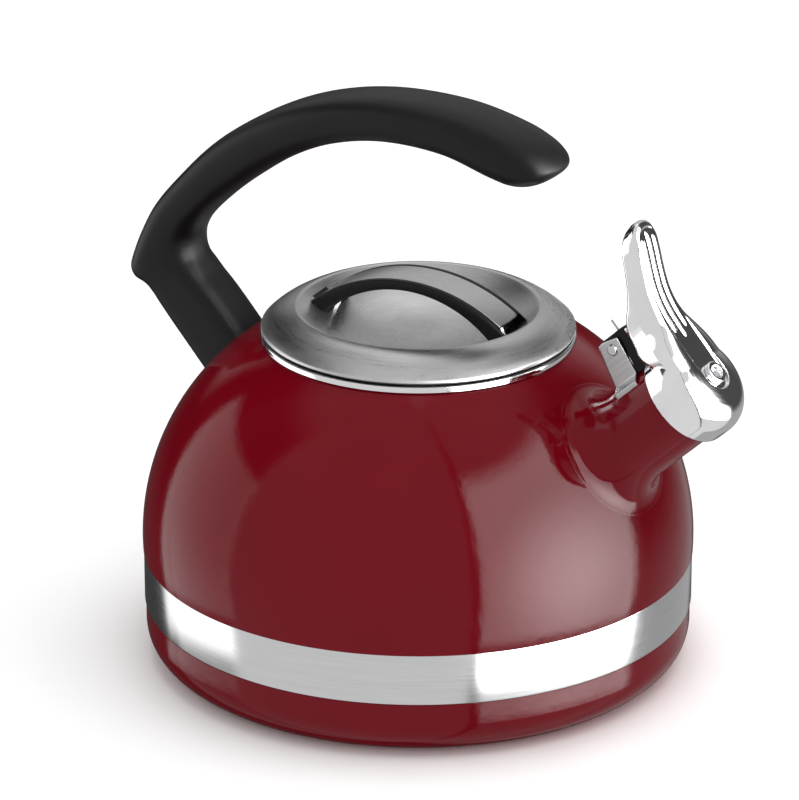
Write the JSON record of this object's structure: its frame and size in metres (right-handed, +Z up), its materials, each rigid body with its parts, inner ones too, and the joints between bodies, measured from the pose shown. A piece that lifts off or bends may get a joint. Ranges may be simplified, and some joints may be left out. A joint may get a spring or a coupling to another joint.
{
  "type": "whistling kettle",
  "caption": "Stovetop kettle: domed enamelled pot with a trim band, lift-off lid with a bridged finger well, open C handle and a sprung whistle cap with a thumb lever on the spout.",
  "frame": {"origin": "centre of the flat bottom, on the surface that the kettle stands on", "axes": "+Z up, +X towards the spout, the handle's stem on -X; the plane Y = 0 halves the pot, handle and spout"},
  "size_m": [0.2428, 0.1942, 0.2053],
  "materials": {
    "enamel": "deep red glossy porcelain enamel over steel",
    "polished_steel": "polished stainless steel",
    "brushed_steel": "stainless steel with a fine brushed grain",
    "chrome": "bright chrome plating on a zinc casting",
    "handle_black": "satin black moulded nylon",
    "seal_rubber": "dark silicone rubber",
    "plain_steel": "plain steel, as formed"
  },
  "bodies": {
    "pot": {"body_shell": "enamel", "base_pan": "enamel", "spout_tube": "enamel", "trim_band": "polished_steel", "neck_rim": "polished_steel", "spout_rim": "polished_steel", "handle_grip": "handle_black", "handle_core": "plain_steel", "handle_bracket": "plain_steel", "handle_screws": "plain_steel", "handle_washers": "plain_steel", "spout_bracket": "brushed_steel", "bracket_rivets": "plain_steel", "hinge_pin": "polished_steel", "torsion_spring": "plain_steel"},
    "lid": {"lid_cover": "brushed_steel", "lid_liner": "plain_steel", "lid_clips": "plain_steel", "lid_gasket": "seal_rubber", "lid_handle": "handle_black", "lid_handle_inlay": "brushed_steel", "lid_handle_screws": "plain_steel", "lid_handle_washers": "plain_steel"},
    "spout_cap": {"cap_lever": "chrome", "hinge_block": "handle_black", "block_screws": "plain_steel", "whistle_eyelet": "polished_steel", "whistle_lower_plate": "plain_steel", "whistle_upper_plate": "plain_steel", "whistle_ring": "plain_steel", "cap_insert": "handle_black", "cap_seal": "seal_rubber"}
  },
  "joints": [
    {"name": "lid_lift", "type": "slide", "parent": "pot", "child": "lid", "axis": [0, 0, 1], "range_m": [0, 0.025]},
    {"name": "spout_cap_hinge", "type": "hinge", "parent": "pot", "child": "spout_cap", "pos_m": [0.0823, 0, 0.13163], "axis": [0, -1, 0], "range_deg": [0, 55], "stiffness_Nm_per_rad": 0.06, "springref_deg": -34.38, "deforming": ["torsion_spring"]}
  ]
}
